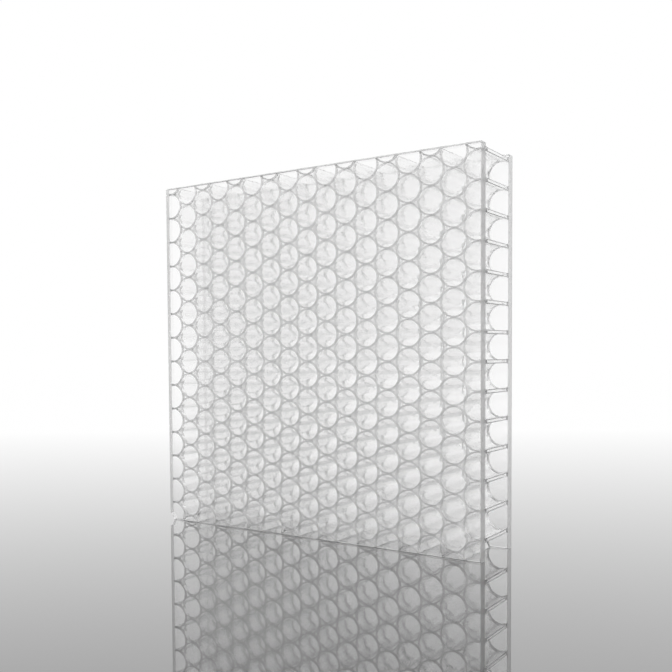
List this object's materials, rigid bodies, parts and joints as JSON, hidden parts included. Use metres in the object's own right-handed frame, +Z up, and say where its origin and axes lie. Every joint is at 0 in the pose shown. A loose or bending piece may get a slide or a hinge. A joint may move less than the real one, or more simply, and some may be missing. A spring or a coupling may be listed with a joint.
{
  "type": "ring cell panel",
  "caption": "Clear sandwich panel sample: flat transparent face sheets resin-bonded to a core of touching round tubes, a light stiff board for glazing and partitions.",
  "frame": {"origin": "middle of the width and of the thickness, on the bottom edge that the panel stands on", "axes": "+Z up, +X along the width to the right as seen from the front, +Y from the front sheet to the back sheet"},
  "size_m": [0.0994, 0.019, 0.0973],
  "materials": {
    "sheet": "clear polished acrylic, saw-cut edges",
    "resin": "clear cured resin",
    "tube": "clear extruded plastic with fine streaks along the tube"
  },
  "bodies": {
    "root": {"front_sheet": "sheet", "back_sheet": "sheet", "front_bond": "resin", "back_bond": "resin", "tube_column_01": "tube", "tube_column_02": "tube", "tube_column_03": "tube", "tube_column_04": "tube", "tube_column_05": "tube", "tube_column_06": "tube", "tube_column_07": "tube", "tube_column_08": "tube", "tube_column_09": "tube", "tube_column_10": "tube", "tube_column_11": "tube", "tube_column_12": "tube", "tube_column_13": "tube", "tube_column_14": "tube", "tube_column_15": "tube", "tube_column_16": "tube", "tube_column_17": "tube"}
  },
  "joints": []
}
